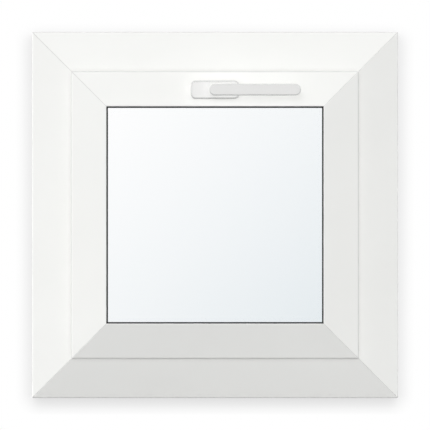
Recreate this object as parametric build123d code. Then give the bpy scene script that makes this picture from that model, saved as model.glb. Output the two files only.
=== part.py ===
from build123d import *
import math
import os

# Bottom-hung window that tilts into the room, of white extruded profile with welded mitres.
# The room side faces -Y, up is +Z, and the origin is the middle of the outer frame's underside.
# A distance called "in" below is measured from the window's outer edge towards its middle.

# Driving sizes, in millimetres and degrees

# Outer frame
window_width = 600.0
window_height = 600.0
frame_depth = 70.0
frame_face = 65.0          # what shows of the frame beside the closed sash, from the room
face_angle = 9.0           # how far the room faces lean back towards the outer edge
upstand_height = 17.0      # the outer leg that the sash closes against
upstand_thickness = 18.0
perimeter_groove_width = 6.0
perimeter_groove_depth = 4.0
perimeter_groove_offset = 20.0
frame_corner_radius = 2.0
upstand_radius = 2.5

# Sash
sash_lap = 7.0             # how far the sash covers the frame
lap_gap = 5.0              # clear space between the sash's lap and the frame's face
lap_thickness = 4.0
rebate_gap = 11.0          # clear space between the sash's edge and the frame's rebate
seal_gap = 5.0             # clear space between the sash's outer face and the upstand
sash_body = 27.0
sash_edge_radius = 1.6
sight_edge_radius = 1.0
body_radius = 1.0
hardware_groove_width = 16.0
hardware_groove_depth = 3.0
hardware_groove_setback = 26.0   # from the back of the lap to the middle of the groove

# Glazing
bead_width = 12.0
bead_depth = 20.0
bead_slope = 3.0
bead_edge_radius = 2.0
pane_thickness = 4.0
pane_cavity = 16.0
glass_edge_gap = 3.0
gasket_thickness = 3.0
gasket_lip = 2.4           # what shows of the gasket around the glass
gasket_cover = 7.0         # how far the gasket runs in beside the glass
gasket_lip_share = 0.25    # the lip's thickness as a share of the gasket's
spacer_width = 7.0
spacer_inset = 1.5
packer_length = 80.0
packer_inset = 70.0        # from the glass corner to the middle of a packer

# Weld line at each mitre
seam_depth = 0.45

# Seals between frame and sash
seal_foot_width = 2.6
seal_foot_depth = 2.0
seal_bulb_width = 4.0
seal_clearance = 0.5       # between a seal and the face that it meets
outer_seal_inset = 3.0     # from the upstand's edge to the middle of its seal
inner_seal_inset = 1.6     # from the rebate's edge to the middle of the sash's seal
inner_seal_width = 2.4

# Hinges under the sash
hinge_inset = 130.0        # from the window's side to the middle of a hinge
hinge_length = 60.0
hinge_middle_knuckle = 19.0
hinge_end_gap = 0.4        # between the middle knuckle and its neighbours
hinge_plate = 2.5
hinge_plate_depth = 22.0
hinge_web = 2.5
hinge_web_gap = 1.0        # between the web and the back of the sash's lap
barrel_radius = 3.5
barrel_gap = 0.5
hinge_pin_radius = 1.75
hinge_drop = 2.0           # pin centre below the rebate's floor
notch_margin = 1.0

# Side stays
stay_arm_length = 150.0    # pivot to sliding pin, and also hinge line to pivot
stay_arm_width = 12.0
stay_arm_thickness = 2.4
stay_pin_radius = 2.5
stay_pin_reach = 6.4
stay_bracket_length = 34.0
stay_bracket_width = 18.0
stay_bracket_plate = 2.4
stay_layer_gap = 0.6
stay_head_radius = 4.2
stay_head_thickness = 0.8
stay_track_length = 90.0
stay_track_proud = 1.5
stay_slot_clearance = 0.5   # round the sliding pin
stay_slot_margin = 2.0      # spare length at the slot's ends together
running_clearance = 0.05
sash_tilt_limit = 20.0

# Lock rail in the sash's top edge
lock_rail_end = 30.0       # from the sash's corner to the rail's end
lock_rail_thickness = 2.6
lock_cam_radius = 4.5
lock_cam_height = 6.0
lock_cam_offset = 110.0
keep_length = 40.0
keep_width = 22.0
keep_thickness = 2.0

# Handle
handle_set = 29.75         # from the sash's top edge to the middle of the handle
rose_length = 77.7
rose_width = 28.5
rose_thickness = 9.0
rose_corner_radius = 7.0
rose_edge_radius = 1.2
lever_length = 150.6
lever_width = 19.1
lever_thickness = 12.0
lever_tip_thickness = 9.5
lever_bow = 2.5
lever_standoff = 33.0
lever_edge_radius = 1.8
neck_radius = 8.0
neck_clearance = 0.08
neck_depth = 5.0           # how far the neck enters the rose
spindle_size = 7.0
spindle_socket_depth = 18.0
spindle_clearance = 0.06
spindle_length = 52.0
spindle_hole_radius = 6.0
spindle_hole_margin = 4.0

# Screw holes through the side jambs
fixing_hole_radius = 3.25
fixing_inset = 120.0       # from the window's top or bottom to a hole

# Drain covers on the outside
drain_inset = 150.0
drain_height = 30.0
drain_length = 34.0
drain_width = 9.0
drain_proud = 3.5
drain_wall = 1.4
drain_radius = 1.2
drain_slot_height = 4.0
drain_slot_depth = 12.0

# Places worked out from the sizes

slope = math.tan(math.radians(face_angle))

rebate_in = frame_face + sash_lap
upstand_in = rebate_in + upstand_height
body_in = rebate_in + rebate_gap
bead_in = body_in + sash_body
sight_in = bead_in + bead_width
glass_in = bead_in + glass_edge_gap

outside_y = frame_depth / 2
frame_y = -frame_depth / 2
upstand_y = outside_y - upstand_thickness
lap_y = frame_y - lap_gap
sash_edge_y = lap_y - lap_thickness
sash_outside_y = upstand_y - seal_gap
bead_y = sash_outside_y - bead_depth
glass_outside_y = bead_y - gasket_thickness
glass_room_y = glass_outside_y - 2 * pane_thickness - pane_cavity
leg_y = glass_room_y - gasket_thickness
groove_y = lap_y + hardware_groove_setback

pin_y = lap_y + barrel_gap + barrel_radius
pin_z = rebate_in - hinge_drop
notch_y = pin_y + barrel_radius + barrel_gap
notch_z = pin_z - barrel_radius - barrel_gap


def frame_front(distance_in):
    """Y of the frame's leaning room face."""
    return frame_y + (frame_face - distance_in) * slope


def sash_front(distance_in):
    """Y of the sash's leaning room face."""
    return sash_edge_y - (distance_in - frame_face) * slope


# The four sides: turn about Y, anchor on the window's outer edge, and length
sides = {
    "bottom": (0, (0, 0, 0), window_width),
    "right": (-90, (window_width / 2, 0, window_height / 2), window_height),
    "top": (180, (0, 0, window_height), window_width),
    "left": (90, (-window_width / 2, 0, window_height / 2), window_height),
}


def section(corners):
    """A bar's section from (distance in, y, corner radius) corners."""
    points = [(y, distance_in) for distance_in, y, radius in corners]
    radii = [radius for distance_in, y, radius in corners]
    return Plane.YZ * make_face(FilletPolyline(*points, radius=radii, close=True))


def rectangle(near_in, far_in, near_y, far_y):
    """A plain rectangular section."""
    return section([(near_in, near_y, 0), (far_in, near_y, 0), (far_in, far_y, 0), (near_in, far_y, 0)])


def mitred(face, side):
    """The section run along one side and cut at 45 degrees at both ends, still lying at the bottom."""
    length = sides[side][2]
    bar = extrude(face, amount=length / 2, both=True)
    for end in (-1, 1):
        mitre = Plane(origin=(end * length / 2, 0, 0), z_dir=(end, 0, 1))
        bar = split(bar, bisect_by=mitre, keep=Keep.BOTTOM)
    return bar


def weld_line(bar, side, start, finish, outwards):
    """Cuts half of the small V along the mitres of one face, from start to finish as (distance in, y)."""
    length = sides[side][2]
    for end in (-1, 1):
        first = Vector(end * (length / 2 - start[0]), start[1], start[0])
        last = Vector(end * (length / 2 - finish[0]), finish[1], finish[0])
        run = last - first
        place = Plane(origin=(first + last) / 2, x_dir=run, z_dir=outwards)
        side_length = seam_depth * math.sqrt(2)
        bar -= place * Rot(45, 0, 0) * Box(run.length + side_length, side_length, side_length)
    return bar


def placed(shape, side):
    """Moves a bottom bar to its own side of the window."""
    turn, anchor, length = sides[side]
    return Pos(*anchor) * Rot(0, turn, 0) * shape


def ring(face):
    """One closed ring of the section round all four sides."""
    bars = [placed(mitred(face, side), side) for side in sides]
    return bars[0] + bars[1] + bars[2] + bars[3]


def block(x_range, y_range, z_range):
    """A box between two corners."""
    size = [high - low for low, high in (x_range, y_range, z_range)]
    middle = [(high + low) / 2 for low, high in (x_range, y_range, z_range)]
    return Pos(*middle) * Box(*size)


def rod_x(radius, x_range, y, z):
    """A round rod along X."""
    low, high = x_range
    return Pos((low + high) / 2, y, z) * Rot(0, 90, 0) * Cylinder(radius, high - low)


def rod_y(radius, y_range, x, z):
    """A round rod along Y."""
    low, high = y_range
    return Pos(x, (low + high) / 2, z) * Rot(90, 0, 0) * Cylinder(radius, high - low)


# Outer frame

def frame_section():
    profile = section([
        (0, outside_y, frame_corner_radius),
        (upstand_in, outside_y, upstand_radius),
        (upstand_in, upstand_y, upstand_radius / 2),
        (rebate_in, upstand_y, 0),
        (rebate_in, frame_y, frame_corner_radius / 2),
        (frame_face, frame_y, 0),
        (0, frame_front(0), frame_corner_radius),
    ])
    for offset in (-perimeter_groove_offset, perimeter_groove_offset):
        near_y = offset - perimeter_groove_width / 2
        profile -= rectangle(-1, perimeter_groove_depth, near_y, near_y + perimeter_groove_width)
    seal_in = upstand_in - outer_seal_inset
    profile -= rectangle(
        seal_in - seal_foot_width / 2,
        seal_in + seal_foot_width / 2,
        upstand_y - 1,
        upstand_y + seal_foot_depth,
    )
    return profile


def frame_bar(side):
    bar = mitred(frame_section(), side)
    bar = weld_line(bar, side, (0, frame_front(0)), (frame_face, frame_y), (0, -1, -slope))
    bar = weld_line(bar, side, (0, outside_y), (upstand_in, outside_y), (0, 1, 0))
    return placed(bar, side)


def hinge_places():
    """X of the middle of each hinge."""
    return {"left": -(window_width / 2 - hinge_inset), "right": window_width / 2 - hinge_inset}


def hinge_span(x, length):
    return (x - length / 2, x + length / 2)


def drain_places():
    """X of the middle of each drain."""
    return {"left": drain_inset - window_width / 2, "right": window_width / 2 - drain_inset}


def drain_slot_span(x):
    half_length = drain_length / 2 - 2 * drain_wall
    return (x - half_length, x + half_length)


def frame_sill():
    """Bottom bar with a notch for each hinge barrel and a slot behind each drain cover."""
    sill = frame_bar("bottom")
    for x in drain_places().values():
        sill -= block(
            drain_slot_span(x),
            (outside_y - drain_slot_depth, outside_y + 1),
            (drain_height - drain_slot_height / 2, drain_height + drain_slot_height / 2),
        )
    for x in hinge_places().values():
        sill -= block(
            hinge_span(x, hinge_length + 2 * notch_margin),
            (frame_y - 1, notch_y),
            (notch_z, rebate_in + 1),
        )
    return sill


def frame_jamb(side):
    jamb = frame_bar(side)
    sign = 1 if side == "right" else -1
    edge = sign * window_width / 2
    floor = sign * (window_width / 2 - rebate_in)
    reach = (min(edge, floor) - 1, max(edge, floor) + 1)
    for z in (fixing_inset, window_height - fixing_inset):
        jamb -= rod_x(fixing_hole_radius, reach, 0, z)
    return jamb


def frame_seal():
    """Bulb seal round the upstand, its foot in the upstand's groove."""
    seal_in = upstand_in - outer_seal_inset
    foot = rectangle(
        seal_in - seal_foot_width / 2,
        seal_in + seal_foot_width / 2,
        upstand_y - seal_bulb_width / 4,
        upstand_y + seal_foot_depth,
    )
    bulb = section([
        (seal_in - seal_bulb_width / 2, upstand_y, 0),
        (seal_in - seal_bulb_width / 2, sash_outside_y + seal_clearance, seal_bulb_width / 3),
        (seal_in + seal_bulb_width / 2, sash_outside_y + seal_clearance, seal_bulb_width / 3),
        (seal_in + seal_bulb_width / 2, upstand_y, 0),
    ])
    return ring(foot + bulb)


# Sash

def sash_section():
    profile = section([
        (frame_face, sash_edge_y, sash_edge_radius),
        (sight_in, sash_front(sight_in), sight_edge_radius),
        (sight_in, leg_y, 0),
        (bead_in, leg_y, 0),
        (bead_in, sash_outside_y, 0),
        (body_in, sash_outside_y, body_radius),
        (body_in, lap_y, 0),
        (frame_face, lap_y, sash_edge_radius / 2),
    ])
    near_y = groove_y - hardware_groove_width / 2
    profile -= rectangle(body_in - 1, body_in + hardware_groove_depth, near_y, near_y + hardware_groove_width)
    seal_in = rebate_in - inner_seal_inset
    profile -= rectangle(
        seal_in - inner_seal_width / 4,
        seal_in + inner_seal_width / 4,
        lap_y - seal_foot_depth,
        lap_y + 1,
    )
    return profile


def sash_bar(side):
    bar = mitred(sash_section(), side)
    bar = weld_line(bar, side, (frame_face, sash_edge_y), (sight_in, sash_front(sight_in)), (0, -1, -slope))
    bar = weld_line(bar, side, (body_in, sash_outside_y), (bead_in, sash_outside_y), (0, 1, 0))
    return placed(bar, side)


handle_in = frame_face + handle_set
handle_z = window_height - handle_in
handle_face_y = sash_front(handle_in)
neck_end_y = handle_face_y - rose_thickness + neck_depth
spindle_start_y = neck_end_y - spindle_socket_depth
spindle_end_y = spindle_start_y + spindle_length
spindle_hole_end_y = spindle_end_y + spindle_hole_margin


def sash_top_rail():
    hole = rod_y(spindle_hole_radius, (spindle_start_y, spindle_hole_end_y), 0, handle_z)
    return sash_bar("top") - hole


def sash_seal():
    """Seal on the back of the lap, parted where the hinges pass."""
    seal_in = rebate_in - inner_seal_inset
    foot = rectangle(
        seal_in - inner_seal_width / 4,
        seal_in + inner_seal_width / 4,
        lap_y - seal_foot_depth,
        lap_y + seal_clearance,
    )
    bulb = section([
        (seal_in - inner_seal_width / 2, lap_y, 0),
        (seal_in + inner_seal_width / 2, lap_y, 0),
        (seal_in + inner_seal_width / 2, frame_y - seal_clearance, inner_seal_width / 3),
        (seal_in - inner_seal_width / 2, frame_y - seal_clearance, inner_seal_width / 3),
    ])
    seal = ring(foot + bulb)
    for x in hinge_places().values():
        seal -= block(
            hinge_span(x, hinge_length + 2 * notch_margin),
            (lap_y, frame_y),
            (0, window_height / 2),
        )
    return seal


def bead(side):
    """Glazing bead clipped in from the outside."""
    profile = section([
        (bead_in, bead_y, 0),
        (sight_in, bead_y, bead_edge_radius / 2),
        (sight_in - bead_slope, sash_outside_y, bead_edge_radius),
        (bead_in, sash_outside_y, bead_edge_radius / 4),
    ])
    return placed(mitred(profile, side), side)


# Glass and its seat

def pane(near_y):
    half_width = window_width / 2 - glass_in
    return block(
        (-half_width, half_width),
        (near_y, near_y + pane_thickness),
        (glass_in, window_height - glass_in),
    )


def glass_spacer():
    near_in = glass_in + spacer_inset
    near_y = glass_room_y + pane_thickness
    return ring(rectangle(near_in, near_in + spacer_width, near_y, near_y + pane_cavity))


def glazing_gasket(seat_y, glass_y):
    """Gasket between its seat and the glass, with a lip that shows round the glass."""
    lip_y = glass_y + (seat_y - glass_y) * gasket_lip_share
    return ring(section([
        (sight_in - gasket_cover, seat_y, 0),
        (sight_in, seat_y, 0),
        (sight_in + gasket_lip, lip_y, 0),
        (sight_in + gasket_lip, glass_y, 0),
        (sight_in - gasket_cover, glass_y, 0),
    ]))


def glazing_packers():
    """Blocks that carry the glass clear of the sash."""
    blocks = []
    for side in sides:
        length = sides[side][2]
        for end in (-1, 1):
            middle = end * (length / 2 - glass_in - packer_inset)
            packer = block(
                (middle - packer_length / 2, middle + packer_length / 2),
                (glass_room_y, glass_outside_y),
                (bead_in, glass_in),
            )
            blocks.append(placed(packer, side))
    return Compound(children=blocks)


# Hinges

def hinge_base(x):
    """Frame half: a plate on the rebate's floor with two end knuckles."""
    base = block(
        hinge_span(x, hinge_length),
        (notch_y, notch_y + hinge_plate_depth),
        (rebate_in, rebate_in + hinge_plate),
    )
    inner = hinge_middle_knuckle / 2 + hinge_end_gap
    for end in (-1, 1):
        near, far = sorted((x + end * inner, x + end * hinge_length / 2))
        base += rod_x(barrel_radius, (near, far), pin_y, pin_z)
        base += block((near, far), (pin_y, notch_y), (rebate_in, rebate_in + hinge_plate))
    bore = rod_x(hinge_pin_radius + running_clearance, hinge_span(x, hinge_length + 2), pin_y, pin_z)
    return base - bore


def hinge_leaf(x):
    """Sash half: a plate under the sash's edge, with a web down to the middle knuckle."""
    web_y = lap_y + hinge_web_gap
    leaf = block(
        hinge_span(x, hinge_length),
        (web_y, notch_y + hinge_plate_depth),
        (body_in - hinge_plate, body_in),
    )
    leaf += block(
        hinge_span(x, hinge_middle_knuckle),
        (web_y, web_y + hinge_web),
        (pin_z, body_in),
    )
    leaf += rod_x(barrel_radius, hinge_span(x, hinge_middle_knuckle), pin_y, pin_z)
    bore = rod_x(hinge_pin_radius + running_clearance, hinge_span(x, hinge_length), pin_y, pin_z)
    return leaf - bore


def hinge_pin(x):
    return rod_x(hinge_pin_radius, hinge_span(x, hinge_length), pin_y, pin_z)


# Side stays

# The arm's pivot is as far from the hinge line as from the sliding pin. So the pin stays on one
# straight line through the hinge line, and the arm turns twice as far as the sash.

stay_lean = math.asin((groove_y - pin_y) / (2 * stay_arm_length))


def stay_line(distance):
    """Y and Z at a distance from the hinge line along the stay's line."""
    return (pin_y + distance * math.sin(stay_lean), pin_z + distance * math.cos(stay_lean))


pivot_y, pivot_z = stay_line(stay_arm_length)
slide_y, slide_z = stay_line(2 * stay_arm_length)
slide_travel = 2 * stay_arm_length * (1 - math.cos(math.radians(sash_tilt_limit)))

# Layers between the jamb's rebate and the sash's edge, from the window's side towards its middle
bracket_in = rebate_in + stay_bracket_plate
arm_outer_in = bracket_in + stay_layer_gap
arm_inner_in = arm_outer_in + stay_arm_thickness
track_in = body_in - stay_track_proud


def across(side, near_in, far_in):
    """X range of a layer on the left or right."""
    sign = 1 if side == "right" else -1
    return tuple(sorted((sign * (window_width / 2 - near_in), sign * (window_width / 2 - far_in))))


def stay_bracket(side):
    """Plate on the jamb with the stud and head that hold the arm."""
    plate = block(
        across(side, rebate_in, bracket_in),
        (pivot_y - stay_bracket_width / 2, pivot_y + stay_bracket_width / 2),
        (pivot_z - stay_bracket_length / 2, pivot_z + stay_bracket_length / 2),
    )
    head_in = arm_inner_in + stay_layer_gap / 2
    stud = rod_x(stay_pin_radius, across(side, rebate_in, head_in), pivot_y, pivot_z)
    head = rod_x(stay_head_radius, across(side, head_in, head_in + stay_head_thickness), pivot_y, pivot_z)
    return plate + stud + head


def stay_arm(side):
    """Flat arm with round ends, a hole at the frame and a sliding pin at the sash."""
    layer = across(side, arm_outer_in, arm_inner_in)
    middle_y = (pivot_y + slide_y) / 2
    middle_z = (pivot_z + slide_z) / 2
    lean = Rot(-math.degrees(stay_lean), 0, 0)
    bar = Box(layer[1] - layer[0], stay_arm_width, stay_arm_length)
    arm = Pos((layer[0] + layer[1]) / 2, middle_y, middle_z) * lean * bar
    arm += rod_x(stay_arm_width / 2, layer, pivot_y, pivot_z)
    arm += rod_x(stay_arm_width / 2, layer, slide_y, slide_z)
    arm += rod_x(stay_pin_radius, across(side, arm_outer_in, arm_inner_in + stay_pin_reach), slide_y, slide_z)
    return arm - rod_x(stay_pin_radius + running_clearance, across(side, rebate_in, body_in), pivot_y, pivot_z)


def stay_track(side):
    """Bar in the sash's hardware groove, with the slot that the sliding pin runs in."""
    slot_middle_y, slot_middle_z = stay_line(2 * stay_arm_length - slide_travel / 2)
    layer = across(side, track_in, body_in + hardware_groove_depth)
    track = block(
        layer,
        (groove_y - hardware_groove_width / 2, groove_y + hardware_groove_width / 2),
        (slot_middle_z - stay_track_length / 2, slot_middle_z + stay_track_length / 2),
    )
    slot_radius = stay_pin_radius + stay_slot_clearance
    slot_length = slide_travel + 2 * slot_radius + stay_slot_margin
    slot = extrude(SlotOverall(slot_length, 2 * slot_radius), amount=stay_arm_width, both=True)
    upright = Rot(-math.degrees(stay_lean), 0, 0) * Rot(0, 90, 0) * slot
    return track - Pos((layer[0] + layer[1]) / 2, slot_middle_y, slot_middle_z) * upright


# Lock rail and its keeps

def lock_rail():
    half_length = window_width / 2 - body_in - lock_rail_end
    floor_in = body_in + hardware_groove_depth
    rail = block(
        (-half_length, half_length),
        (groove_y - hardware_groove_width / 2, groove_y + hardware_groove_width / 2),
        (floor_in - lock_rail_thickness, floor_in),
    )
    return placed(rail, "top")


def lock_cam(x):
    top_in = body_in + hardware_groove_depth - lock_rail_thickness
    cam = Pos(x, groove_y, top_in - lock_cam_height / 2) * Cylinder(lock_cam_radius, lock_cam_height)
    return placed(cam, "top")


def keep(x):
    plate = block(
        (x - keep_length / 2, x + keep_length / 2),
        (groove_y - keep_width / 2, groove_y + keep_width / 2),
        (rebate_in, rebate_in + keep_thickness),
    )
    return placed(plate, "top")


# Handle

def handle_rose():
    """Rose on the sash's leaning face, its back cut to that face."""
    front_y = handle_face_y - rose_thickness
    back_y = handle_face_y + rose_width * slope
    plan = Plane.XZ * RectangleRounded(rose_length, rose_width, rose_corner_radius)
    body = Pos(0, back_y, handle_z) * extrude(plan, amount=back_y - front_y)
    front = body.faces().sort_by(Axis.Y)[0]
    body = fillet(front.edges(), rose_edge_radius)
    seat = Plane(origin=(0, handle_face_y, handle_z), z_dir=(0, -1, slope))
    body = split(body, bisect_by=seat, keep=Keep.TOP)
    return body - rod_y(neck_radius + neck_clearance, (front_y - 1, back_y), 0, handle_z)


def handle_lever():
    """Lever bowed a little towards the room, with a round neck that turns in the rose."""
    back_y = handle_face_y - lever_standoff
    front_y = back_y - lever_thickness
    near_x = -lever_width / 2
    far_x = lever_length - lever_width / 2
    middle_x = (near_x + far_x) / 2
    tip_front_y = front_y + lever_bow
    tip_back_y = tip_front_y + lever_tip_thickness
    plan = Line((near_x, back_y), (near_x, front_y))
    plan += ThreePointArc((near_x, front_y), (middle_x, front_y + lever_bow / 4), (far_x, tip_front_y))
    plan += Line((far_x, tip_front_y), (far_x, tip_back_y))
    bowed_back_y = (back_y + tip_back_y) / 2 - lever_bow / 4
    plan += ThreePointArc((far_x, tip_back_y), (middle_x, bowed_back_y), (near_x, back_y))
    bowed = extrude(make_face(plan), amount=lever_width, both=True)
    outline = Plane.XZ * Pos(middle_x, 0) * SlotOverall(lever_length, lever_width)
    upright = extrude(outline, amount=lever_standoff + lever_thickness, both=True)
    grip = bowed & Pos(0, back_y, 0) * upright
    grip = fillet(grip.edges(), lever_edge_radius)
    grip += rod_y(neck_radius, (back_y - lever_edge_radius, neck_end_y), 0, 0)
    socket = spindle_size + 2 * spindle_clearance
    half = socket / 2
    grip -= block((-half, half), (spindle_start_y, neck_end_y + 1), (-half, half))
    return Pos(0, 0, handle_z) * grip


def handle_spindle():
    """Square bar from the lever's socket into the sash."""
    half = spindle_size / 2
    return block(
        (-half, half),
        (spindle_start_y, spindle_end_y),
        (handle_z - half, handle_z + half),
    )


# Drain covers

def drain_cover(x):
    """Hooded cover over a drain slot on the outside, open at its bottom."""
    plan = Plane.XZ * RectangleRounded(drain_length, drain_width, drain_width / 3)
    hood = Pos(x, outside_y + drain_proud, drain_height) * extrude(plan, amount=drain_proud)
    front = hood.faces().sort_by(Axis.Y)[-1]
    hood = fillet(front.edges(), drain_radius)
    return hood - block(
        drain_slot_span(x),
        (outside_y - 1, outside_y + drain_proud - drain_wall),
        (drain_height - drain_width, drain_height + drain_width / 2 - drain_wall),
    )


def build_nodes():
    """Every named piece of the window."""
    nodes = {
        "frame_head": frame_bar("top"),
        "frame_sill": frame_sill(),
        "frame_jamb_left": frame_jamb("left"),
        "frame_jamb_right": frame_jamb("right"),
        "frame_seal": frame_seal(),
        "sash_top_rail": sash_top_rail(),
        "sash_bottom_rail": sash_bar("bottom"),
        "sash_stile_left": sash_bar("left"),
        "sash_stile_right": sash_bar("right"),
        "sash_seal": sash_seal(),
        "glass_room_pane": pane(glass_room_y),
        "glass_outer_pane": pane(glass_outside_y - pane_thickness),
        "glass_spacer": glass_spacer(),
        "glazing_gasket_room": glazing_gasket(leg_y, glass_room_y),
        "glazing_gasket_outer": glazing_gasket(bead_y, glass_outside_y),
        "glazing_packers": glazing_packers(),
        "lock_rail": lock_rail(),
        "handle_rose": handle_rose(),
        "handle_lever": handle_lever(),
        "handle_spindle": handle_spindle(),
    }
    for side in sides:
        nodes["glazing_bead_" + side] = bead(side)
    for side, x in hinge_places().items():
        nodes["hinge_base_" + side] = hinge_base(x)
        nodes["hinge_leaf_" + side] = hinge_leaf(x)
        nodes["hinge_pin_" + side] = hinge_pin(x)
        nodes["stay_bracket_" + side] = stay_bracket(side)
        nodes["stay_arm_" + side] = stay_arm(side)
        nodes["stay_track_" + side] = stay_track(side)
        sign = 1 if side == "right" else -1
        nodes["lock_cam_" + side] = lock_cam(sign * lock_cam_offset)
        nodes["lock_keep_" + side] = keep(sign * lock_cam_offset)
        nodes["drain_cover_" + side] = drain_cover(drain_places()[side])
    return nodes


os.makedirs("parts", exist_ok=True)
for name, shape in build_nodes().items():
    export_step(shape, "parts/" + name + ".step")
print("hinge line y, z:", round(pin_y, 3), round(pin_z, 3))
print("stay pivot y, z:", round(pivot_y, 3), round(pivot_z, 3))
print("handle y, z:", round(handle_face_y, 3), round(handle_z, 3))
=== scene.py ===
import math

import bmesh
import bpy
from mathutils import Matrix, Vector


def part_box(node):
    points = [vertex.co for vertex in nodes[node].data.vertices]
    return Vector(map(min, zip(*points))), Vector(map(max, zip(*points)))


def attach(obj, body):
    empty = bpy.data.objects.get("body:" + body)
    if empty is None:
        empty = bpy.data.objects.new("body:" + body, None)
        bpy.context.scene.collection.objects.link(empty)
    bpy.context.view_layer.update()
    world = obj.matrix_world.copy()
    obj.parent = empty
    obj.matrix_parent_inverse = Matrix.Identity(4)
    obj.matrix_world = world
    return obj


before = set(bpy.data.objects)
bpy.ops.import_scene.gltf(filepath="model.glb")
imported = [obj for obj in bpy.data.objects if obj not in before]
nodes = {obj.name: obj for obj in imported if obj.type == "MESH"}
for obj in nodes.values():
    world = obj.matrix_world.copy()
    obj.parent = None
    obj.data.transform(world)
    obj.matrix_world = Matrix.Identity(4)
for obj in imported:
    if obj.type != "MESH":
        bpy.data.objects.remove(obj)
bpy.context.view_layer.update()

print("Frame loaded with", len(nodes), "nodes")

# Units are metres. The room side faces -Y and up is +Z, as in the frame.

windowLow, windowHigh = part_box("frame_sill")[0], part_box("frame_head")[1]
halfWidth = (windowHigh.x - windowLow.x) / 2
midHeight = (windowHigh.z + windowLow.z) / 2
halfHeight = (windowHigh.z - windowLow.z) / 2
glassLow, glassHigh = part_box("glass_room_pane")


def addNode(tree, kind, settings=None, inputs=None):
    # inputs holds numbers, colours, or the sockets that feed them
    made = tree.nodes.new(kind)
    for name, value in (settings or {}).items():
        setattr(made, name, value)
    for name, value in (inputs or {}).items():
        if isinstance(value, bpy.types.NodeSocket):
            tree.links.new(value, made.inputs[name])
        else:
            made.inputs[name].default_value = value
    return made


def mathNode(tree, operation, first, second=0.0):
    return addNode(tree, "ShaderNodeMath", {"operation": operation}, {0: first, 1: second}).outputs[0]


def clampedRange(tree, value, low, high, toLow, toHigh):
    sockets = {"Value": value, "From Min": low, "From Max": high, "To Min": toLow, "To Max": toHigh}
    return addNode(tree, "ShaderNodeMapRange", {"clamp": True}, sockets).outputs["Result"]


def noise(tree, vector, scale, detail=2.0, roughness=0.5):
    sockets = {"Vector": vector, "Scale": scale, "Detail": detail, "Roughness": roughness}
    return addNode(tree, "ShaderNodeTexNoise", None, sockets).outputs["Fac"]


def blendColours(tree, factor, first, second):
    made = addNode(tree, "ShaderNodeMix", {"data_type": "RGBA"}, {0: factor, 6: first, 7: second})
    return made.outputs[2]


def newMaterial(name, **fixed):
    # fixed goes straight on the Principled sockets, with _ for each space
    material = bpy.data.materials.new(name)
    material.use_nodes = True
    tree = material.node_tree
    shader = tree.nodes["Principled BSDF"]
    for key, value in fixed.items():
        shader.inputs[key.replace("_", " ")].default_value = value
    place = addNode(tree, "ShaderNodeTexCoord").outputs["Object"]
    return material, tree, shader, place


def bumpFrom(tree, heights, strength):
    # heights are (height socket, depth in metres), stacked one on the next
    normal = None
    for height, depth in heights:
        sockets = {"Height": height, "Distance": depth, "Strength": strength}
        made = addNode(tree, "ShaderNodeBump", None, sockets)
        if normal:
            tree.links.new(normal, made.inputs["Normal"])
        normal = made.outputs["Normal"]
    return normal


# Finishes. A noise is given as (scale, detail, roughness), and a range as (low, high).

plasticLook = {
    "colour": (0.897, 0.901, 0.882, 1),
    "colourLow": (0.881, 0.885, 0.865, 1),
    "cloud": (7.0, 3.0, 0.6),
    "colourCloud": (0.35, 0.65),
    "roughnessCloud": (0.3, 0.7),
    "roughness": (0.29, 0.34),
    "weldColour": (0.70, 0.70, 0.69, 1),
    "weldRoughness": 0.55,
    "weldWidth": 0.0009,
    "shadeLineColour": (0.70, 0.70, 0.69, 1),
    "shadeLineWidth": 0.0011,    # a faint painted shade line along the outer edge and along the sash's edge
    "outerShadeLine": 0.65,
    "shadeLineDepth": 0.0145,    # how far behind the frame's foremost face the lines still lie
    "shadeLineFade": 0.001,
    "drawLines": 900.0,      # fine lines along the extruded bar
    "lines": (1.0, 1.0, 0.5),
    "drawDepth": 0.000012,
    "skin": (420.0, 2.0, 0.5),
    "skinDepth": 0.000010,
    "bump": 0.6,
}


def paintedShadeLines(tree, fromSide, fromMiddle, depth):
    # painted shade lines along the frame's outer edge and the sash's edge, on the room face only
    look = plasticLook
    width = look["shadeLineWidth"]
    fromCentre = mathNode(tree, "ADD", fromMiddle, halfWidth - halfHeight)
    farther = mathNode(tree, "MAXIMUM", fromSide, fromCentre)
    inward = mathNode(tree, "SUBTRACT", halfWidth, farther)
    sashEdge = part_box("sash_stile_left")[0].x - windowLow.x
    fromSash = mathNode(tree, "ABSOLUTE", mathNode(tree, "SUBTRACT", inward, sashEdge))
    sashLine = clampedRange(tree, fromSash, width * 0.5, width, 1, 0)
    outerLine = clampedRange(tree, inward, width * 0.5, width, look["outerShadeLine"], 0)
    line = mathNode(tree, "MAXIMUM", sashLine, outerLine)
    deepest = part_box("frame_sill")[0].y + look["shadeLineDepth"]
    onRoomFace = clampedRange(tree, depth, deepest, deepest - look["shadeLineFade"], 0, 1)
    return mathNode(tree, "MULTIPLY", line, onRoomFace)


# Painted shade in corners and recesses, dust with painted shade on what looks up, and wear off the edges:
# each is thinner in patches, down to a least share of itself

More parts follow.
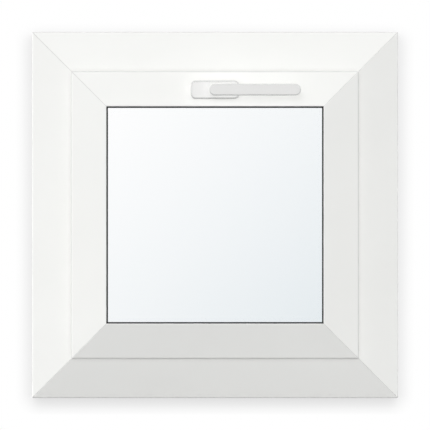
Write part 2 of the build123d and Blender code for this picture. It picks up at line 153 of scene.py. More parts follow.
cornerShadePatches = {"noise": (60.0, 3.0, 0.5), "between": (0.3, 0.6), "least": 0.75}
# painted shade in the corners of the plastic parts
plasticCornerShade = {
    "reach": 0.010,
    "colour": (0.71, 0.705, 0.69, 1),
    "openAt": (0.35, 0.97),      # how open a corner is where the painted shade is darkest, and where there is none
    "patches": cornerShadePatches,
}
# painted shade in the recesses of the steel parts
steelCornerShade = {
    "reach": 0.0015,
    "colour": (0.05, 0.048, 0.045, 1),
    "openAt": (0.3, 0.8),
    "patches": cornerShadePatches,
}
dustAndShade = {
    "colour": (0.55, 0.55, 0.54, 1),
    "lies": (0.22, 0.7),         # how far a face looks up where the first dust and painted shade lie, and where all of it does
    "cover": 0.85,
    "patches": {"noise": (34.0, 5.0, 0.7), "between": (0.25, 0.75), "least": 0.78},
}
edgeWear = {
    "reach": 0.0022,
    "colour": (0.30, 0.30, 0.30, 1),
    "solidAt": (0.7, 0.94),      # how much solid lies behind the surface where it is barest, and where sound
    "patches": {"noise": (90.0, 3.0, 0.5), "between": (0.3, 0.6), "least": 0.7},
}
occlusionSamples = {"finish": 8, "stage": 16}


def layerOver(tree, place, colour, strength, look):
    # lays the look's own colour over the other, by strength and in patches
    patches = look["patches"]
    low, high = patches["between"]
    patchy = clampedRange(tree, noise(tree, place, *patches["noise"]), low, high, patches["least"], 1)
    return blendColours(tree, mathNode(tree, "MULTIPLY", strength, patchy), colour, look["colour"])


def withCornerShade(tree, place, colour, look):
    # painted shade: the colour is darkened where two pieces meet at a corner, and in screw recesses
    corner = addNode(tree, "ShaderNodeAmbientOcclusion", {"samples": occlusionSamples["finish"]},
                     {"Distance": look["reach"]})
    darkestAt, unshadedAt = look["openAt"]
    closed = clampedRange(tree, corner.outputs["AO"], darkestAt, unshadedAt, 1, 0)
    return layerOver(tree, place, colour, closed, look)


def withDustAndShade(tree, place, colour):
    # dust lies on what looks up while the window is shut, and with it painted shade that dims the faces and
    # rounded edges lit bright from above
    normal = addNode(tree, "ShaderNodeTexCoord").outputs["Normal"]
    upward = addNode(tree, "ShaderNodeSeparateXYZ", None, {0: normal}).outputs["Z"]
    steepest, flattest = dustAndShade["lies"]
    lies = clampedRange(tree, upward, steepest, flattest, 0, dustAndShade["cover"])
    return layerOver(tree, place, colour, lies, dustAndShade)


def withWornEdges(tree, place, colour):
    # the coat is rubbed thin along the outer edges
    settings = {"samples": occlusionSamples["finish"], "inside": True, "only_local": True}
    edge = addNode(tree, "ShaderNodeAmbientOcclusion", settings, {"Distance": edgeWear["reach"]})
    barest, sound = edgeWear["solidAt"]
    bare = clampedRange(tree, edge.outputs["AO"], barest, sound, 1, 0)
    return layerOver(tree, place, colour, bare, edgeWear)


def whitePlastic(name, runsAlong):
    # extruded bar: fine lines along its length, a faint waviness, and a duller weld at its mitres, with
    # painted shade in its corners and in lines along its edges, and dust with painted shade on what looks up
    look = plasticLook
    material, tree, shader, place = newMaterial(name, IOR=1.5, Coat_Weight=0.15, Coat_Roughness=0.2)
    along = (1.0, look["drawLines"], look["drawLines"])
    if runsAlong == "up":
        along = (look["drawLines"], look["drawLines"], 1.0)
    lined = addNode(tree, "ShaderNodeMapping", None, {"Vector": place, "Scale": along}).outputs[0]
    lines = noise(tree, lined, *look["lines"])
    skin = noise(tree, place, *look["skin"])
    cloud = noise(tree, place, *look["cloud"])
    apart = addNode(tree, "ShaderNodeSeparateXYZ", None, {0: place})
    fromSide = mathNode(tree, "ABSOLUTE", apart.outputs["X"])
    fromMiddle = mathNode(tree, "ABSOLUTE", mathNode(tree, "SUBTRACT", apart.outputs["Z"], midHeight))
    fartherAcross = mathNode(tree, "SUBTRACT", fromSide, fromMiddle)
    offMitre = mathNode(tree, "ABSOLUTE", mathNode(tree, "SUBTRACT", fartherAcross, halfWidth - halfHeight))
    weld = clampedRange(tree, offMitre, look["weldWidth"] * 0.5, look["weldWidth"], 1, 0)
    shade = clampedRange(tree, cloud, *look["colourCloud"], 0, 1)
    bare = blendColours(tree, shade, look["colourLow"], look["colour"])
    # painted shade where the bar meets other pieces in corners
    cornerShaded = withCornerShade(tree, place, bare, plasticCornerShade)
    # painted shade lines along the outer edge and along the sash's edge
    shadeLines = paintedShadeLines(tree, fromSide, fromMiddle, apart.outputs["Y"])
    # dust, and painted shade over what looks up
    dustyAndShaded = withDustAndShade(tree, place, blendColours(tree, shadeLines, cornerShaded, look["shadeLineColour"]))
    tree.links.new(blendColours(tree, weld, dustyAndShaded, look["weldColour"]), shader.inputs["Base Color"])
    sheen = clampedRange(tree, cloud, *look["roughnessCloud"], *look["roughness"])
    dull = mathNode(tree, "MAXIMUM", sheen, mathNode(tree, "MULTIPLY", weld, look["weldRoughness"]))
    tree.links.new(dull, shader.inputs["Roughness"])
    normal = bumpFrom(tree, [(lines, look["drawDepth"]), (skin, look["skinDepth"])], look["bump"])
    tree.links.new(normal, shader.inputs["Normal"])
    return material


mouldedParts = {
    "roseEnamel": {"colour": (0.92, 0.92, 0.91, 1), "roughness": 0.33, "grain": 0.00003},
    "leverEnamel": {"colour": (0.87, 0.87, 0.86, 1), "roughness": 0.30, "grain": 0.00003},
    "drainPlastic": {"colour": (0.86, 0.86, 0.85, 1), "roughness": 0.42, "grain": 0.00003},
    "packerPlastic": {"colour": (0.03, 0.10, 0.30, 1), "roughness": 0.5, "grain": 0.00004},
    "underlayPlastic": {"colour": (0.56, 0.56, 0.56, 1), "roughness": 0.5, "grain": 0.00002},
    # painted shade: black for the shaded inside of holes and slots
    "recessBlack": {"colour": (0.015, 0.015, 0.016, 1), "roughness": 0.7, "grain": 0.00002},
}
mouldedLook = {
    "speckle": (1500.0, 2.0, 0.5),
    "speckleRange": (0.3, 0.7),
    "cloud": (30.0, 2.0, 0.5),
    "darkest": 0.965,
    "smoother": 0.04,
    "rougher": 0.05,
    "bump": 0.5,
}


def mouldedPlastic(name, shadedAndDusty=False, wears=False):
    # moulded or coated part with a fine even grain, which may get painted shade in corners and dust with
    # painted shade on what looks up, and whose edges may wear
    look, part = mouldedLook, mouldedParts[name]
    material, tree, shader, place = newMaterial(name, IOR=1.48)
    speckle = noise(tree, place, *look["speckle"])
    cloud = noise(tree, place, *look["cloud"])
    darker = tuple(channel * look["darkest"] for channel in part["colour"][:3]) + (1,)
    blended = blendColours(tree, cloud, darker, part["colour"])
    if shadedAndDusty:
        # painted shade in corners, then dust with painted shade on what looks up
        blended = withDustAndShade(tree, place, withCornerShade(tree, place, blended, plasticCornerShade))
    if wears:
        blended = withWornEdges(tree, place, blended)
    tree.links.new(blended, shader.inputs["Base Color"])
    low, high = part["roughness"] - look["smoother"], part["roughness"] + look["rougher"]
    sheen = clampedRange(tree, speckle, *look["speckleRange"], low, high)
    tree.links.new(sheen, shader.inputs["Roughness"])
    tree.links.new(bumpFrom(tree, [(speckle, part["grain"])], look["bump"]), shader.inputs["Normal"])
    return material


rubberLook = {
    "colour": (0.006, 0.0065, 0.0065, 1),
    "bloomColour": (0.013, 0.014, 0.014, 1),
    "bloom": (90.0, 4.0, 0.6),
    "colourBloom": (0.4, 0.7),
    "roughnessBloom": (0.3, 0.7),
    "roughness": (0.5, 0.68),
    "grain": (2200.0, 2.0, 0.5),
    "grainDepth": 0.00002,
    "bump": 0.5,
}


def blackRubber(name):
    # nearly black, with a faint grey bloom
    look = rubberLook
    material, tree, shader, place = newMaterial(name, Specular_IOR_Level=0.3)
    bloom = noise(tree, place, *look["bloom"])
    grain = noise(tree, place, *look["grain"])
    bloomed = clampedRange(tree, bloom, *look["colourBloom"], 0, 1)
    colour = blendColours(tree, bloomed, look["colour"], look["bloomColour"])
    tree.links.new(colour, shader.inputs["Base Color"])
    dull = clampedRange(tree, bloom, *look["roughnessBloom"], *look["roughness"])
    tree.links.new(dull, shader.inputs["Roughness"])
    tree.links.new(bumpFrom(tree, [(grain, look["grainDepth"])], look["bump"]), shader.inputs["Normal"])
    return material


steelLook = {
    "rolledAcross": (40.0, 1400.0, 1400.0),      # how the rolled lines are drawn out along X, Y and Z
    "rolledUp": (1400.0, 1400.0, 40.0),
    "rolledThrough": (900.0, 60.0, 900.0),
    "lines": (1.0, 3.0, 0.6),
    "lineDepth": 0.00002,
    "mottle": (160.0, 4.0, 0.65),
    "mottleDepth": 0.00001,
    "mottleRange": (0.3, 0.7),
    "darkZinc": (0.36, 0.38, 0.41, 1),
    "lightZinc": (0.55, 0.57, 0.59, 1),
    "tint": (26.0, 2.0, 0.5),
    "tintRange": (0.45, 0.75),
    "tintColour": (0.58, 0.55, 0.47, 1),
    "mostTint": 0.35,
    "roughness": (0.28, 0.44),
    "bump": 0.6,
}


def platedSteel(name, rolled):
    # zinc plating: rolled lines, a soft mottle and a faint warm and cool tint
    look = steelLook
    material, tree, shader, place = newMaterial(name, Metallic=1.0)
    sockets = {"Vector": place, "Scale": look[rolled]}
    stretched = addNode(tree, "ShaderNodeMapping", None, sockets).outputs[0]
    lines = noise(tree, stretched, *look["lines"])
    mottle = noise(tree, place, *look["mottle"])
    tint = noise(tree, place, *look["tint"])
    cool = blendColours(tree, mottle, look["darkZinc"], look["lightZinc"])
    tinted = clampedRange(tree, tint, *look["tintRange"], 0, look["mostTint"])
    warm = blendColours(tree, tinted, cool, look["tintColour"])
    # the colour is darkened as painted shade in corners and recesses
    tree.links.new(withCornerShade(tree, place, warm, steelCornerShade), shader.inputs["Base Color"])
    dull = clampedRange(tree, mottle, *look["mottleRange"], *look["roughness"])
    tree.links.new(dull, shader.inputs["Roughness"])
    heights = [(lines, look["lineDepth"]), (mottle, look["mottleDepth"])]
    tree.links.new(bumpFrom(tree, heights, look["bump"]), shader.inputs["Normal"])
    return material


glassLook = {
    "wave": (9.0, 1.0, 0.5),
    "tint": (0.991, 0.995, 0.997, 1),
    "clearest": (0.994, 0.996, 0.998, 1),
    "throughTint": (0.96, 0.98, 0.985, 1),
}


def clearGlass(name):
    # lamps shine through it without a dark shadow
    look = glassLook
    material, tree, shader, place = newMaterial(name, Transmission_Weight=1.0, IOR=1.5, Roughness=0.0)
    colour = blendColours(tree, noise(tree, place, *look["wave"]), look["tint"], look["clearest"])
    tree.links.new(colour, shader.inputs["Base Color"])
    path = addNode(tree, "ShaderNodeLightPath")
    letThrough = mathNode(tree, "MAXIMUM", path.outputs["Is Shadow Ray"], path.outputs["Is Diffuse Ray"])
    clear = addNode(tree, "ShaderNodeBsdfTransparent", None, {"Color": look["throughTint"]})
    sockets = {0: letThrough, 1: shader.outputs[0], 2: clear.outputs[0]}
    both = addNode(tree, "ShaderNodeMixShader", None, sockets)
    tree.links.new(both.outputs[0], tree.nodes["Material Output"].inputs["Surface"])
    return material


plasticAcross = whitePlastic("whiteBarAcross", "across")
plasticUp = whitePlastic("whiteBarUp", "up")
rubber = blackRubber("blackRubber")
steelFlat = platedSteel("platedSteelAcross", "rolledAcross")
steelUp = platedSteel("platedSteelUp", "rolledUp")
spacerMetal = platedSteel("spacerAluminium", "rolledThrough")
glass = clearGlass("clearGlass")
roseEnamel = mouldedPlastic("roseEnamel", shadedAndDusty=True, wears=True)
leverEnamel = mouldedPlastic("leverEnamel", shadedAndDusty=True, wears=True)
drainPlastic = mouldedPlastic("drainPlastic", shadedAndDusty=True)
packerPlastic = mouldedPlastic("packerPlastic")
underlayPlastic = mouldedPlastic("underlayPlastic")
recessBlack = mouldedPlastic("recessBlack")

finishes = {
    plasticAcross: ["frame_head", "frame_sill", "sash_top_rail", "sash_bottom_rail",
                    "glazing_bead_top", "glazing_bead_bottom"],
    plasticUp: ["frame_jamb_left", "frame_jamb_right", "sash_stile_left", "sash_stile_right",
                "glazing_bead_left", "glazing_bead_right"],
    rubber: ["frame_seal", "sash_seal", "glazing_gasket_room", "glazing_gasket_outer"],
    glass: ["glass_room_pane", "glass_outer_pane"],
    spacerMetal: ["glass_spacer"],
    packerPlastic: ["glazing_packers"],
    steelFlat: ["lock_rail", "lock_cam_left", "lock_cam_right", "lock_keep_left", "lock_keep_right",
                "hinge_base_left", "hinge_base_right", "hinge_leaf_left", "hinge_leaf_right",
                "hinge_pin_left", "hinge_pin_right", "handle_spindle"],
    steelUp: ["stay_bracket_left", "stay_bracket_right", "stay_arm_left", "stay_arm_right",
              "stay_track_left", "stay_track_right"],
    roseEnamel: ["handle_rose"],
    leverEnamel: ["handle_lever"],
    drainPlastic: ["drain_cover_left", "drain_cover_right"],
}
for material, dressed in finishes.items():
    for name in dressed:
        for slot in nodes[name].material_slots:
            slot.material = material
print("Finishes put on", sum(len(dressed) for dressed in finishes.values()), "nodes")


def addObject(name, mesh):
    made = bpy.data.objects.new(name, mesh)
    bpy.context.scene.collection.objects.link(made)
    return made


def newTree(name, numbers, materials):
    # a Geometry Nodes tree with named inputs: numbers as {name: default}, and materials by name
    tree = bpy.data.node_groups.new(name, "GeometryNodeTree")
    tree.interface.new_socket("Geometry", in_out="INPUT", socket_type="NodeSocketGeometry")
    for label, value in numbers.items():
        kind = "NodeSocketInt" if isinstance(value, int) else "NodeSocketFloat"
        tree.interface.new_socket(label, in_out="INPUT", socket_type=kind).default_value = value
    for label in materials:
        tree.interface.new_socket(label, in_out="INPUT", socket_type="NodeSocketMaterial")
    tree.interface.new_socket("Geometry", in_out="OUTPUT", socket_type="NodeSocketGeometry")
    return tree, addNode(tree, "NodeGroupInput"), addNode(tree, "NodeGroupOutput")


def copiesOut(tree, given, out, points, model, **turnAndScale):
    # one copy of the model on each point, made real, given its finish and sent to the tree's output
    sockets = {"Points": points, "Instance": model, **turnAndScale}
    placed = addNode(tree, "GeometryNodeInstanceOnPoints", None, sockets)
    solid = addNode(tree, "GeometryNodeRealizeInstances", None, {"Geometry": placed.outputs[0]})
    sockets = {"Geometry": solid.outputs[0], "Material": given.outputs["Finish"]}
    dressed = addNode(tree, "GeometryNodeSetMaterial", None, sockets)
    tree.links.new(dressed.outputs[0], out.inputs["Geometry"])


def grow(name, source, tree, values):
    # runs the tree on source and keeps the result as one plain mesh
    carrier = addObject(name + "Carrier", source)
    modifier = carrier.modifiers.new(tree.name, "NODES")
    modifier.node_group = tree
    for item in tree.interface.items_tree:
        if item.in_out == "INPUT" and item.name in values:
            modifier[item.identifier] = values[item.name]
    bpy.context.view_layer.update()
    evaluated = carrier.evaluated_get(bpy.context.evaluated_depsgraph_get())
    mesh = bpy.data.meshes.new_from_object(evaluated)
    carrier.modifiers.remove(modifier)
    bpy.data.objects.remove(carrier)
    mesh.name = name
    return addObject(name, mesh)


# Screws

screwLook = {
    "headRadius": 0.0031,
    "headProud": 0.00018,
    "headDepth": 0.0012,
    "footShare": 0.55,      # the countersink's foot and the head's flat top, as shares of its radius
    "topShare": 0.94,
    "crossLength": 0.0034,
    "crossWidth": 0.0008,
    "crossDepth": 0.0009,
    "sides": 28,
    "seed": 7,
}


def screwHead():
    # low countersunk head with a cross recess, facing +Z
    look = screwLook
    foot, top = -look["headDepth"], look["headProud"]
    profile = [(0.0, foot), (look["footShare"], foot), (1.0, 0.0), (look["topShare"], top), (0.0, top)]
    head = bmesh.new()
    rings = []
    for share, height in profile:
        radius = share * look["headRadius"]
        if radius == 0:
            rings.append([head.verts.new((0, 0, height))])
            continue
        turns = [2 * math.pi * step / look["sides"] for step in range(look["sides"])]
        rings.append([head.verts.new((radius * math.cos(t), radius * math.sin(t), height)) for t in turns])
    for lower, upper in zip(rings, rings[1:]):
        for step in range(look["sides"]):
            following = (step + 1) % look["sides"]
            corners = [lower[step % len(lower)], lower[following % len(lower)],
                       upper[following % len(upper)], upper[step % len(upper)]]
            head.faces.new(list(dict.fromkeys(corners)))
    bmesh.ops.recalc_face_normals(head, faces=head.faces)
    mesh = bpy.data.meshes.new("screwHead")
    head.to_mesh(mesh)
    head.free()
    made = addObject("screwHead", mesh)
    cutter = bmesh.new()
    length, width = look["crossLength"], look["crossWidth"]
    for alongX, alongY in ((length, width), (width, length)):
        block = bmesh.ops.create_cube(cutter, size=1.0)["verts"]
        bmesh.ops.scale(cutter, vec=(alongX, alongY, look["crossDepth"] * 2), verts=block)
        bmesh.ops.translate(cutter, vec=(0, 0, look["headProud"]), verts=block)
    cutMesh = bpy.data.meshes.new("screwCross")
    cutter.to_mesh(cutMesh)
    cutter.free()
    cross = addObject("screwCross", cutMesh)
    cut = made.modifiers.new("cross", "BOOLEAN")
    cut.object = cross
    cut.operation = "DIFFERENCE"
    cut.use_self = True
    bpy.context.view_layer.update()
    result = bpy.data.meshes.new_from_object(made.evaluated_get(bpy.context.evaluated_depsgraph_get()))
    bpy.data.objects.remove(cross)
    made.modifiers.remove(cut)
    made.data = result
    return made


def screwTree(head):
    # one head on each point, facing along the point's own "facing" and turned at random
    tree, given, out = newTree("placeScrews", {"Head Scale": 1.0, "Seed": 0}, ["Finish"])
    facing = addNode(tree, "GeometryNodeInputNamedAttribute", {"data_type": "FLOAT_VECTOR"},
                     {"Name": "facing"})
    aligned = addNode(tree, "FunctionNodeAlignRotationToVector", {"axis": "Z"},
                      {"Vector": facing.outputs[0]})
    spin = addNode(tree, "FunctionNodeRandomValue", {"data_type": "FLOAT"},
                   {2: 0.0, 3: math.tau, "Seed": given.outputs["Seed"]})
    turned = addNode(tree, "FunctionNodeAxisAngleToRotation", None,
                     {"Axis": (0, 0, 1), "Angle": spin.outputs[1]})
    both = addNode(tree, "FunctionNodeRotateRotation", {"rotation_space": "LOCAL"},
                   {"Rotation": aligned.outputs[0], "Rotate By": turned.outputs[0]})
    model = addNode(tree, "GeometryNodeObjectInfo", None, {"Object": head})
    copiesOut(tree, given, out, given.outputs["Geometry"], model.outputs["Geometry"],
              Rotation=both.outputs[0], Scale=given.outputs["Head Scale"])
    return tree


def screwPoints(name, spots):
    # spots are (place, facing)
    mesh = bpy.data.meshes.new(name)
    mesh.from_pydata([place for place, facing in spots], [], [])
    facing = mesh.attributes.new("facing", "FLOAT_VECTOR", "POINT")
    facing.data.foreach_set("vector", [part for place, way in spots for part in way])
    return mesh


def rowOnFace(node, wayAcross, facing, offsets, middleShift=(0, 0, 0)):
    # screw spots on one face of a node's box, in a row through its middle
    low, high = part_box(node)
    middle = (low + high) / 2 + Vector(middleShift)
    way = Vector(facing)
    for axis in range(3):
        if way[axis]:
            middle[axis] = high[axis] if way[axis] > 0 else low[axis]
    return [(middle + Vector(wayAcross) * offset, way) for offset in offsets]


print("Screw head made")

screwRows = {
    "hingeBase": (-0.021, 0.0, 0.021),
    "hingeLeaf": (-0.022, 0.022),
    "keep": (-0.0135, 0.0135),
    "bracket": (-0.0125, 0.0125),
    "track": (-0.038, 0.038),
    "rail": (-0.172, -0.055, 0.055, 0.172),
    "hingePlateShift": 0.004,   # from the middle of the hinge's box to the middle of its plate
    "hingePlateThickness": 0.0025,
    "bracketFaceIn": 0.0744,    # from the frame's outer edge to the bracket plate's face
}


def frameScrewSpots():
    rows = screwRows
    spots = []
    for side, inward in (("left", 1), ("right", -1)):
        shift = (0, rows["hingePlateShift"], 0)
        spots += rowOnFace("hinge_base_" + side, (1, 0, 0), (0, 0, 1), rows["hingeBase"], shift)
        spots += rowOnFace("lock_keep_" + side, (1, 0, 0), (0, 0, -1), rows["keep"])
        plate = rowOnFace("stay_bracket_" + side, (0, 0, 1), (inward, 0, 0), rows["bracket"])
        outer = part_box("frame_jamb_" + side)
        edge = outer[0].x if side == "left" else outer[1].x
        face = edge + inward * rows["bracketFaceIn"]
        spots += [(Vector((face, place.y, place.z)), way) for place, way in plate]
    return spots


def sashScrewSpots():
    rows = screwRows
    spots = rowOnFace("lock_rail", (1, 0, 0), (0, 0, 1), rows["rail"])
    for side, outward in (("left", -1), ("right", 1)):
        spots += rowOnFace("stay_track_" + side, (0, 0, 1), (outward, 0, 0), rows["track"])
        leaf = "hinge_leaf_" + side
        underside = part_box(leaf)[1].z - rows["hingePlateThickness"]
        shift = (0, rows["hingePlateShift"], 0)
        row = rowOnFace(leaf, (1, 0, 0), (0, 0, -1), rows["hingeLeaf"], shift)
        spots += [(Vector((place.x, place.y, underside)), way) for place, way in row]
    return spots


head = screwHead()
screws = screwTree(head)
screwValues = {"Head Scale": 1.0, "Seed": screwLook["seed"], "Finish": steelFlat}
screwPieces = {"frameScrews": (frameScrewSpots(), "frame"), "sashScrews": (sashScrewSpots(), "sash")}
for name, (spots, body) in screwPieces.items():
    piece = grow(name, screwPoints(name + "Spots", spots), screws, screwValues)
    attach(piece, body)
    print(name, len(spots), "screws")
bpy.data.objects.remove(head)


# Spacer perforations, drawn as black dots that paint the shade inside the holes

perforation = {
    "spacing": 0.0042,
    "radius": 0.00042,
    "sides": 8,
    "rings": 5,
    "rowOffset": 0.0042,       # from the middle of the spacer to a row, along Y
    "sink": 0.00012,
    "spacerWidth": 0.007,
}


def perforationTree():
    # dots at an even spacing along an upright rectangle
    numbers = {"Width": 0.3, "Height": 0.3, "Spacing": 0.005, "Radius": 0.0005,
               "Middle Y": 0.0, "Middle Z": 0.3, "Sides": 8, "Rings": 5}
    tree, given, out = newTree("punchRow", numbers, ["Finish"])
    asked = given.outputs
    path = addNode(tree, "GeometryNodeCurvePrimitiveQuadrilateral", None,
                   {0: asked["Width"], 1: asked["Height"]})
    lift = addNode(tree, "ShaderNodeCombineXYZ", None, {"Y": asked["Middle Y"], "Z": asked["Middle Z"]})
    upright = addNode(tree, "GeometryNodeTransform", None,
                      {"Geometry": path.outputs[0], "Translation": lift.outputs[0],
                       "Rotation": (math.pi / 2, 0, 0)})
    points = addNode(tree, "GeometryNodeCurveToPoints", {"mode": "LENGTH"},
                     {"Curve": upright.outputs[0], "Length": asked["Spacing"]})
    dot = addNode(tree, "GeometryNodeMeshUVSphere", None,
                  {"Segments": asked["Sides"], "Rings": asked["Rings"], "Radius": asked["Radius"]})
    copiesOut(tree, given, out, points.outputs[0], dot.outputs[0])
    return tree


def spacerPerforations():
    # two rows of black dots, painted shade of the holes, on the faces of the spacer that look into the glass
    # unit
    look = perforation
    low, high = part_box("glass_spacer")
    inset = look["spacerWidth"] - look["sink"]
    tree = perforationTree()
    rows = []
    for side in (-1, 1):
        values = {"Width": high.x - low.x - 2 * inset, "Height": high.z - low.z - 2 * inset,
                  "Middle Y": (low.y + high.y) / 2 + side * look["rowOffset"], "Middle Z": midHeight,
                  "Spacing": look["spacing"], "Radius": look["radius"],
                  "Sides": look["sides"], "Rings": look["rings"], "Finish": recessBlack}
        name = "spacerPerforations" + ("Room" if side < 0 else "Outer")
        rows.append(grow(name, bpy.data.meshes.new(name + "Path"), tree, values))
    return rows


for piece in spacerPerforations():
    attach(piece, "sash")
print("Spacer perforations made")


# Lock rail slots: a thin black sheet on the rail top, painted shade where each slot's inside would show

camSlot = {"length": 0.034, "width": 0.0105, "proud": 0.00012, "arcSteps": 12}


def obroundMesh(name, middle, look):
    # thin flat obround lying across the window, black as the painted shade of a slot
    radius = look["width"] / 2
    reach = look["length"] / 2 - radius
    outline = []
    for end in (1, -1):
        for step in range(look["arcSteps"] + 1):
            turn = math.pi * (step / look["arcSteps"] - 0.5)
            outline.append((end * (reach + radius * math.cos(turn)), end * radius * math.sin(turn)))
    shape = bmesh.new()
    lower = [shape.verts.new((middle.x + x, middle.y + y, middle.z - look["proud"])) for x, y in outline]
    upper = [shape.verts.new((middle.x + x, middle.y + y, middle.z + look["proud"])) for x, y in outline]
    shape.faces.new(list(reversed(lower)))
    shape.faces.new(upper)
    for step in range(len(outline)):
        following = (step + 1) % len(outline)
        shape.faces.new([lower[step], lower[following], upper[following], upper[step]])
    mesh = bpy.data.meshes.new(name)
    shape.to_mesh(mesh)
    shape.free()
    mesh.materials.append(recessBlack)
    return mesh


for side in ("left", "right"):
    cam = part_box("lock_cam_" + side)
    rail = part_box("lock_rail")
    middle = Vector(((cam[0].x + cam[1].x) / 2, (cam[0].y + cam[1].y) / 2, rail[1].z))
    name = "camSlot" + side.capitalize()
    piece = addObject(name, obroundMesh(name, middle, camSlot))
    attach(piece, "sash")
print("Lock rail slots made")


# Drain ribs

drainRib = {
    "count": 6,
    "thickness": 0.0009,
    "height": 0.0028,
    "endGap": 0.0028,
    "coverWall": 0.0014,
    "lift": 0.0004,
}


def ribTree():
    # one rib on each point
    numbers = {"Thickness": 0.001, "Depth": 0.002, "Height": 0.003}
    tree, given, out = newTree("drainRibs", numbers, ["Finish"])
    asked = given.outputs
    size = addNode(tree, "ShaderNodeCombineXYZ", None,
                   {"X": asked["Thickness"], "Y": asked["Depth"], "Z": asked["Height"]})
    rib = addNode(tree, "GeometryNodeMeshCube", None, {"Size": size.outputs[0]})
    copiesOut(tree, given, out, asked["Geometry"], rib.outputs["Mesh"])
    return tree


def drainRibs():
    # short ribs across the open mouth under each drain cover
    look = drainRib
    places = []
    for side in ("left", "right"):
        low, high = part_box("drain_cover_" + side)
        first, last = low.x + look["endGap"], high.x - look["endGap"]
        middleY = (low.y + high.y - look["coverWall"]) / 2
        for step in range(look["count"]):
            x = first + (last - first) * (step + 1) / (look["count"] + 1)
            places.append((x, middleY, low.z + look["lift"] + look["height"] / 2))
    depth = high.y - look["coverWall"] - low.y
    source = bpy.data.meshes.new("drainRibPlaces")
    source.from_pydata(places, [], [])
    values = {"Thickness": look["thickness"], "Depth": depth, "Height": look["height"],
              "Finish": drainPlastic}
    return grow("drainRibs", source, ribTree(), values)


ribs = drainRibs()
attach(ribs, "frame")
print("Drain ribs made")


# Rose underlay: a thin grey plate edge that shows round the rose

underlay = {
    "margin": 0.0008,
    "ringWidth": 0.004,
    "thickness": 0.0008,
    "gap": 0.00002,
    "cornerRadius": 0.007,
    "arcSteps": 7,
    "endShare": 0.1,        # the share of the rose's height taken at each end to find how its back leans
}


def roundedOutline(low, high, radius, arcSteps):
    # (x, z) points round a rectangle with round corners
    points = []
    corners = [(high.x, high.z, -1, -1), (low.x, high.z, 1, -1), (low.x, low.z, 1, 1), (high.x, low.z, -1, 1)]
    for quarter, (x, z, inwardX, inwardZ) in enumerate(corners):
        for step in range(arcSteps + 1):
            turn = math.pi / 2 * (quarter + step / arcSteps)
            points.append((x + radius * (inwardX + math.cos(turn)), z + radius * (inwardZ + math.sin(turn))))
    return points


def roseUnderlay():
    # a ring that follows the lean of the rose's back
    look = underlay
    low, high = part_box("handle_rose")
    end = (high.z - low.z) * look["endShare"]
    backs = []
    for bottom, top in ((low.z, low.z + end), (high.z - end, high.z)):
        band = [vertex.co for vertex in nodes["handle_rose"].data.vertices if bottom <= vertex.co.z <= top]
        backs.append(max(band, key=lambda spot: spot.y))
    lean = (backs[1].y - backs[0].y) / (backs[1].z - backs[0].z)
    grown = Vector((look["margin"], 0, look["margin"]))
    inset = Vector((look["ringWidth"], 0, look["ringWidth"]))
    outerRadius = look["cornerRadius"] + look["margin"]
    innerRadius = look["cornerRadius"] - look["ringWidth"]
    outer = roundedOutline(low - grown, high + grown, outerRadius, look["arcSteps"])
    inner = roundedOutline(low + inset, high - inset, innerRadius, look["arcSteps"])
    near, off = look["gap"], look["thickness"]
    shape = bmesh.new()
    loops = []
    for outline, proud in ((outer, near), (outer, off), (inner, off), (inner, near)):
        spots = [(x, backs[0].y + lean * (z - backs[0].z) - proud, z) for x, z in outline]
        loops.append([shape.verts.new(spot) for spot in spots])
    for here, there in zip(loops, loops[1:] + loops[:1]):
        for step in range(len(outer)):
            following = (step + 1) % len(outer)
            shape.faces.new([here[step], here[following], there[following], there[step]])
    bmesh.ops.recalc_face_normals(shape, faces=shape.faces)
    mesh = bpy.data.meshes.new("roseUnderlay")
    shape.to_mesh(mesh)
    shape.free()
    mesh.materials.append(underlayPlastic)
    return addObject("roseUnderlay", mesh)


underlayRing = roseUnderlay()
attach(underlayRing, "sash")
print("Rose underlay made")


# Camera

cameraPlace = {
    "framePixels": 430,      # the width of the picture and of the window in it
    "windowPixels": 366,
    "distance": 30.0,        # so far that the view has almost no perspective
    "sensor": 36.0,
    "nearest": 0.1,
}


def makeCamera():
    look = cameraPlace
    across = 2 * halfWidth * look["framePixels"] / look["windowPixels"]
    data = bpy.data.cameras.new("roomView")
    data.sensor_width = look["sensor"]
    data.lens = look["sensor"] * look["distance"] / across
    data.clip_start = look["nearest"]
    data.clip_end = 2 * look["distance"]
    camera = addObject("roomView", data)
    camera.location = (0, windowLow.y - look["distance"], midHeight)
    camera.rotation_euler = (math.pi / 2, 0, 0)
    bpy.context.scene.camera = camera


makeCamera()
print("Camera set")


# Stage: a wall right behind the window, a pale sky seen through the glass, and a floor

stageLook = {
    "wallY": 0.040,
    "wallReach": 3.0,
    "wallShadow": {"reach": 0.030, "depth": 0.42},
    "wallShadowDrop": 0.9,
    "floorShadow": {"reach": 0.30, "depth": 0.55},
    "skyY": 0.0375,
    "skyBeyondGlass": 0.045,
    "skyNear": (1.0, 1.0, 1.0, 1),
    "skyFar": (0.755, 0.81, 0.838, 1),
    "skyCurve": 1.25,
    "floorFront": 2.5,
    "floorReach": 3.0,
    "floorRise": 0.012,      # metres a metre towards the room, so that the camera sees no edge of it
}


def flatMesh(name, corners):
    mesh = bpy.data.meshes.new(name)
    mesh.from_pydata(corners, [], [tuple(range(len(corners)))])
    return mesh


def uprightPanel(name, y, across, upward):
    (left, right), (base, top) = across, upward
    return flatMesh(name, [(left, y, base), (right, y, base), (right, y, top), (left, y, top)])


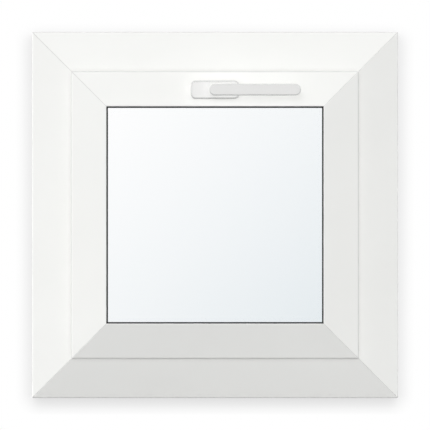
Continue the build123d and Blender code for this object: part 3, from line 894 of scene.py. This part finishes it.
def stageMaterial(name):
    # shows from its front only, so that views from behind or below look past it
    material = bpy.data.materials.new(name)
    material.use_nodes = True
    tree = material.node_tree
    tree.nodes.clear()
    out = addNode(tree, "ShaderNodeOutputMaterial")
    behind = addNode(tree, "ShaderNodeNewGeometry").outputs["Backfacing"]
    clear = addNode(tree, "ShaderNodeBsdfTransparent")
    side = addNode(tree, "ShaderNodeMixShader", None, {0: behind, 2: clear.outputs[0]})
    tree.links.new(side.outputs[0], out.inputs["Surface"])
    return material, tree, side.inputs[1]


def shadedWhite(name, look, tilt):
    # white, with a soft shade close round the window, drawn the way that tilt leans
    material, tree, front = stageMaterial(name)
    facing = addNode(tree, "ShaderNodeCombineXYZ", None, dict(zip("XYZ", tilt)))
    corner = addNode(tree, "ShaderNodeAmbientOcclusion", {"samples": occlusionSamples["stage"]},
                     {"Distance": look["reach"], "Normal": facing.outputs[0]})
    light = clampedRange(tree, corner.outputs["AO"], 0, 1, 1 - look["depth"], 1)
    glow = addNode(tree, "ShaderNodeEmission", None, {"Color": light})
    tree.links.new(glow.outputs[0], front)
    return material


def skyMaterial():
    # white at the glass's top left, pale blue-grey at its bottom right
    look = stageLook
    material, tree, front = stageMaterial("paleSky")
    place = addNode(tree, "ShaderNodeTexCoord").outputs["Object"]
    apart = addNode(tree, "ShaderNodeSeparateXYZ", None, {0: place})
    across = clampedRange(tree, apart.outputs["X"], glassLow.x, glassHigh.x, 0, 0.5)
    down = clampedRange(tree, apart.outputs["Z"], glassHigh.z, glassLow.z, 0, 0.5)
    far = mathNode(tree, "POWER", mathNode(tree, "ADD", across, down), look["skyCurve"])
    colour = blendColours(tree, far, look["skyNear"], look["skyFar"])
    glow = addNode(tree, "ShaderNodeEmission", None, {"Color": colour})
    tree.links.new(glow.outputs[0], front)
    return material


def makeStage():
    look = stageLook
    wide = look["wallReach"]
    wall = uprightPanel("wall", look["wallY"], (-wide, wide), (-wide, wide))
    more = look["skyBeyondGlass"]
    sky = uprightPanel("sky", look["skyY"], (glassLow.x - more, glassHigh.x + more),
                       (glassLow.z - more, glassHigh.z + more))
    reach = look["floorReach"]
    front = windowLow.y - look["floorFront"]
    ahead = look["floorRise"] * look["floorFront"]
    behind = -look["floorRise"] * (reach - windowLow.y)
    floor = flatMesh("floor", [(-reach, front, ahead), (reach, front, ahead),
                               (reach, reach, behind), (-reach, reach, behind)])
    wallWhite = shadedWhite("wallWhite", look["wallShadow"], (0.0, -1.0, look["wallShadowDrop"]))
    floorWhite = shadedWhite("floorWhite", look["floorShadow"], (0.0, 0.0, 1.0))
    for mesh, material in ((wall, wallWhite), (sky, skyMaterial()), (floor, floorWhite)):
        mesh.materials.append(material)
        piece = addObject(mesh.name, mesh)
        piece.visible_diffuse = False
        piece.visible_shadow = False


makeStage()
print("Stage set")


# Lights, each as where it comes from, its strength and its angle. The key light is nearly frontal, so its
# shadows are narrow. The fills cast none.

lightLook = {
    "lamps": {
        "keyLight": ((-0.12, -1.0, 0.27), 0.45, 20.0),
        "leftLight": ((-1.0, 0.0, 0.0), 1.55, 12.0),
        "rightLight": ((1.0, 0.0, 0.0), 1.6, 12.0),
        "rearLight": ((0.35, 1.0, 0.0), 1.9, 50.0),
        "lowLight": ((0.1, 0.25, -1.0), 0.9, 50.0),
    },
    "fills": {
        "frontFill": ((-0.12, -1.0, 0.27), 1.13, 1.0),
        "highFill": ((-0.36, -0.267, 0.894), 2.45, 1.0),
    },
    "noHighlight": ["keyLight", "leftLight", "rightLight"],    # their reflections would burn out the slopes
    "ambient": 0.18,
}


def addSun(name, comesFrom, strength, angle, isFill):
    data = bpy.data.lights.new(name, "SUN")
    data.energy = strength
    data.angle = math.radians(angle)
    data.use_shadow = not isFill
    sun = addObject(name, data)
    sun.visible_glossy = not isFill and name not in lightLook["noHighlight"]
    sun.rotation_mode = "QUATERNION"
    sun.rotation_quaternion = Vector(comesFrom).to_track_quat("Z", "Y")


def makeWorld():
    # white where it is seen, mirrored or looked at through glass, and a low even light on the object
    world = bpy.data.worlds.new("paleRoom")
    bpy.context.scene.world = world
    world.use_nodes = True
    tree = world.node_tree
    path = addNode(tree, "ShaderNodeLightPath")
    seen = mathNode(tree, "MAXIMUM", path.outputs["Is Camera Ray"], path.outputs["Is Glossy Ray"])
    seen = mathNode(tree, "MAXIMUM", seen, path.outputs["Is Transmission Ray"])
    strength = clampedRange(tree, seen, 0, 1, lightLook["ambient"], 1)
    background = tree.nodes["Background"]
    background.inputs["Color"].default_value = (1, 1, 1, 1)
    tree.links.new(strength, background.inputs["Strength"])


for kind in ("lamps", "fills"):
    for name, (comesFrom, strength, angle) in lightLook[kind].items():
        addSun(name, comesFrom, strength, angle, kind == "fills")
makeWorld()
bpy.context.scene.view_settings.view_transform = "Standard"
print("Lights set")
